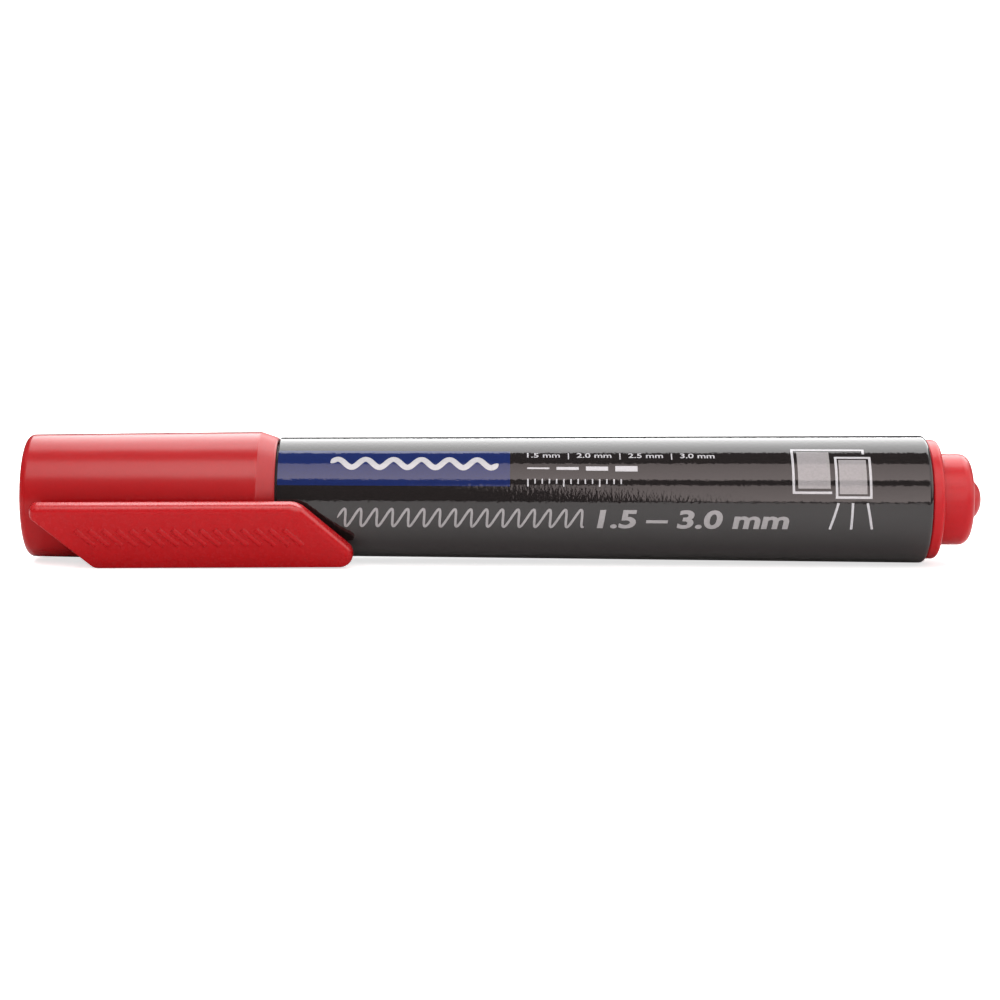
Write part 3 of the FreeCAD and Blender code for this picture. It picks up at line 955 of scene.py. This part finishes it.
def make_panel(name, angles, sides, glow, tint=(1, 1, 1)):
    """Flat light that faces the marker between two directions, in degrees from the front, up over the top.
    sides gives its left edge at the first and second direction and its right edge, in metres from the
    marker's middle, and glow its radiance at its lower and upper side."""
    distance = 1.5
    first, second = angles
    left_first, left_second, right = sides
    middle = math.radians((first + second) / 2)
    half = distance * math.tan(math.radians((second - first) / 2))
    centre = Vector((0, -math.cos(middle), math.sin(middle))) * distance
    onwards = Vector((0, math.sin(middle), math.cos(middle)))
    mesh = bmesh.new()
    corners = [(left_first, -half), (right, -half), (right, half), (left_second, half)]
    mesh.faces.new([mesh.verts.new(centre + Vector((x, 0, 0)) + onwards * up) for x, up in corners])
    n = Nodes(name)
    span = n.add("ShaderNodeTexCoord").outputs["Generated"]
    height = n.add("ShaderNodeSeparateXYZ", {"Vector": span}).outputs["Z"]
    inputs = {"Value": height, "To Min": glow[0], "To Max": glow[1]}
    strength = n.add("ShaderNodeMapRange", inputs).outputs["Result"]
    light = n.add("ShaderNodeEmission", {"Color": colour(*tint), "Strength": strength})
    n.set(n.tree.nodes["Material Output"].inputs["Surface"], light.outputs["Emission"])
    panel = finished(name, mesh, n.material)
    panel.location = (0, AXIS_Y * MM, AXIS_Z * MM)
    panel.visible_camera = False
    return panel


def make_lights():
    """Three soft boxes that show as bands on the film, two more for what faces the right, and a fill that
    doesn't show in reflections."""
    warm = (1.0, 0.87, 0.85)
    top = make_panel("panel_top", (99.5, 158), (-0.43, -0.43, 1.2), (5.3, 4.0))
    top.visible_diffuse = False
    make_panel("panel_front", (40.5, 73.5), (-0.43, -0.43, 0.9), (2.8, 1.9), warm)
    make_panel("panel_low", (1.2, 30.5), (0.13, -0.012, 0.9), (2.8, 2.0), warm)
    make_panel("panel_side", (10, 110), (0.9, 0.9, 1.5), (1.5, 1.5))
    end = make_panel("panel_end", (4, 42), (-0.9, -0.9, 0.7), (1.8, 1.8), warm)
    end.rotation_euler = (0, 0, math.radians(90))
    end.visible_diffuse = False
    fill = make_panel("panel_fill", (35, 145), (-1.3, -1.3, 1.3), (3.9, 2.6))
    fill.visible_glossy = False


def make_surroundings():
    """White surroundings: dim as a light, and bright where the camera looks past the table."""
    dim, bright = 0.15, 1.3
    world = bpy.data.worlds.new("studio")
    bpy.context.scene.world = world
    world.use_nodes = True
    tree = world.node_tree
    strength = tree.nodes.new("ShaderNodeMapRange")
    strength.inputs["To Min"].default_value = dim
    strength.inputs["To Max"].default_value = bright
    tree.links.new(camera_share(tree), strength.inputs["Value"])
    tree.links.new(strength.outputs["Result"], tree.nodes["Background"].inputs["Strength"])
    tree.nodes["Background"].inputs["Color"].default_value = colour(1, 1, 1)


def make_camera():
    """Camera a little above the table, in front of the marker's middle."""
    elevation = math.radians(7.0)
    roll = math.radians(0.289)
    distance = 340
    stand_x = -2.31
    aim_x, aim_below_axis = -0.74, 0.39
    camera = bpy.data.objects.new("camera", bpy.data.cameras.new("camera"))
    camera.data.lens = 85.7
    camera.data.sensor_width = 36
    camera.data.clip_start = 0.01
    camera.data.clip_end = 20
    back = Vector((0, -math.cos(elevation), math.sin(elevation))) * distance
    camera.location = (Vector((stand_x, AXIS_Y, AXIS_Z)) + back) * MM
    aim = Vector((aim_x, AXIS_Y, AXIS_Z - aim_below_axis)) * MM
    camera.rotation_mode = "QUATERNION"
    turn = (aim - camera.location).to_track_quat("-Z", "Y")
    camera.rotation_quaternion = turn @ Quaternion((0, 0, 1), roll)
    bpy.context.scene.collection.objects.link(camera)
    bpy.context.scene.camera = camera
    bpy.context.scene.view_settings.view_transform = "Standard"


make_cap()
make_clip()
make_film()
print_blue_field()
print_line_chart()
print_heading()
print_pictogram()
make_plug()
finish_cad_nodes()
make_floor()
make_lights()
make_surroundings()
make_camera()
